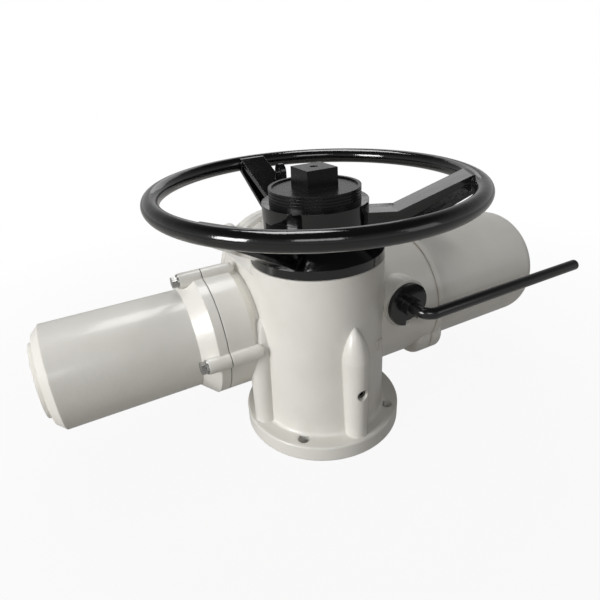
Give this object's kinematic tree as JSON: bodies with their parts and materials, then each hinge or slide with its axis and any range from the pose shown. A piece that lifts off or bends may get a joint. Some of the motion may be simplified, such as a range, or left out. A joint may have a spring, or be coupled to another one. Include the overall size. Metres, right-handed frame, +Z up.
{
  "type": "multi-turn electric actuator",
  "caption": "Multi-turn electric valve actuator with worm drive, top handwheel, hand/auto lever and round flange foot.",
  "frame": {"origin": "centre of the foot flange's mounting face", "axes": "+Z up along the stem, -X along the motor, +X along the terminal housing, -Y the lever side"},
  "size_m": [0.604, 0.3525, 0.2973],
  "materials": {
    "casting_paint": "gloss off-white enamel on cast aluminium",
    "wheel_paint": "gloss black enamel on cast iron",
    "lever_paint": "satin black enamel on steel",
    "plug_finish": "moulded black, faintly grained",
    "stainless": "machined stainless",
    "steel": "ground steel",
    "bronze": "turned bronze",
    "copper": "varnished copper wire",
    "rubber": "black nitrile",
    "block_plastic": "phenolic moulding",
    "brass": "turned brass",
    "glass": "clear toughened glass",
    "dial": "matt white disc"
  },
  "bodies": {
    "root": {"gear_case": "casting_paint", "motor_cover": "casting_paint", "terminal_cover": "casting_paint", "control_cover": "casting_paint", "motor_screws": "stainless", "terminal_screws": "stainless", "control_screws": "stainless", "retainer_screws": "stainless", "motor_gasket": "rubber", "terminal_gasket": "rubber", "control_gasket": "rubber", "motor_stator": "steel", "motor_windings": "copper", "motor_end_bearing": "steel", "worm_bearing_motor_side": "steel", "worm_bearing_far_side": "steel", "worm_seal": "rubber", "drive_bearing": "steel", "bearing_retainer": "steel", "lower_seal": "rubber", "terminal_block": "block_plastic", "terminal_studs": "brass", "sight_glass": "glass", "window_ring": "stainless", "switch_unit": "block_plastic", "dial_plate": "dial", "tube_bush": "bronze", "grease_plug": "stainless", "lever_stop_screw": "stainless"},
    "handwheel": {"handwheel": "wheel_paint", "handwheel_tube": "steel", "stem_plug": "plug_finish", "sleeve_bush": "bronze"},
    "drive": {"drive_sleeve": "steel", "worm_wheel": "bronze", "stem_bush": "bronze"},
    "clutch": {"clutch_ring": "steel"},
    "worm": {"worm_shaft": "steel", "motor_rotor": "steel"},
    "lever": {"lever_shaft": "lever_paint", "lever_rod": "lever_paint", "clutch_fork": "steel"}
  },
  "joints": [
    {"name": "handwheel_turn", "type": "hinge", "parent": "root", "child": "handwheel", "pos_m": [0, 0, 0.19], "axis": [0, 0, 1], "continuous": true},
    {"name": "drive_turn", "type": "hinge", "parent": "root", "child": "drive", "pos_m": [0, 0, 0.118], "axis": [0, 0, 1], "continuous": true},
    {"name": "worm_turn", "type": "hinge", "parent": "root", "child": "worm", "pos_m": [0, 0.058, 0.118], "axis": [1, 0, 0], "continuous": true},
    {"name": "lever_press", "type": "hinge", "parent": "root", "child": "lever", "pos_m": [0.078, -0.06, 0.148], "axis": [0, 1, 0], "range_deg": [0, 25], "stiffness_Nm_per_rad": 1.2, "springref_deg": -57.3},
    {"name": "clutch_lift", "type": "slide", "parent": "drive", "child": "clutch", "axis": [0, 0, 1], "range_m": [0, 0.0107]}
  ],
  "couplings": [
    {"joint": "worm_turn", "follows": "drive_turn", "ratio": 40},
    {"joint": "clutch_lift", "follows": "lever_press", "m_per_rad": 0.0242}
  ]
}
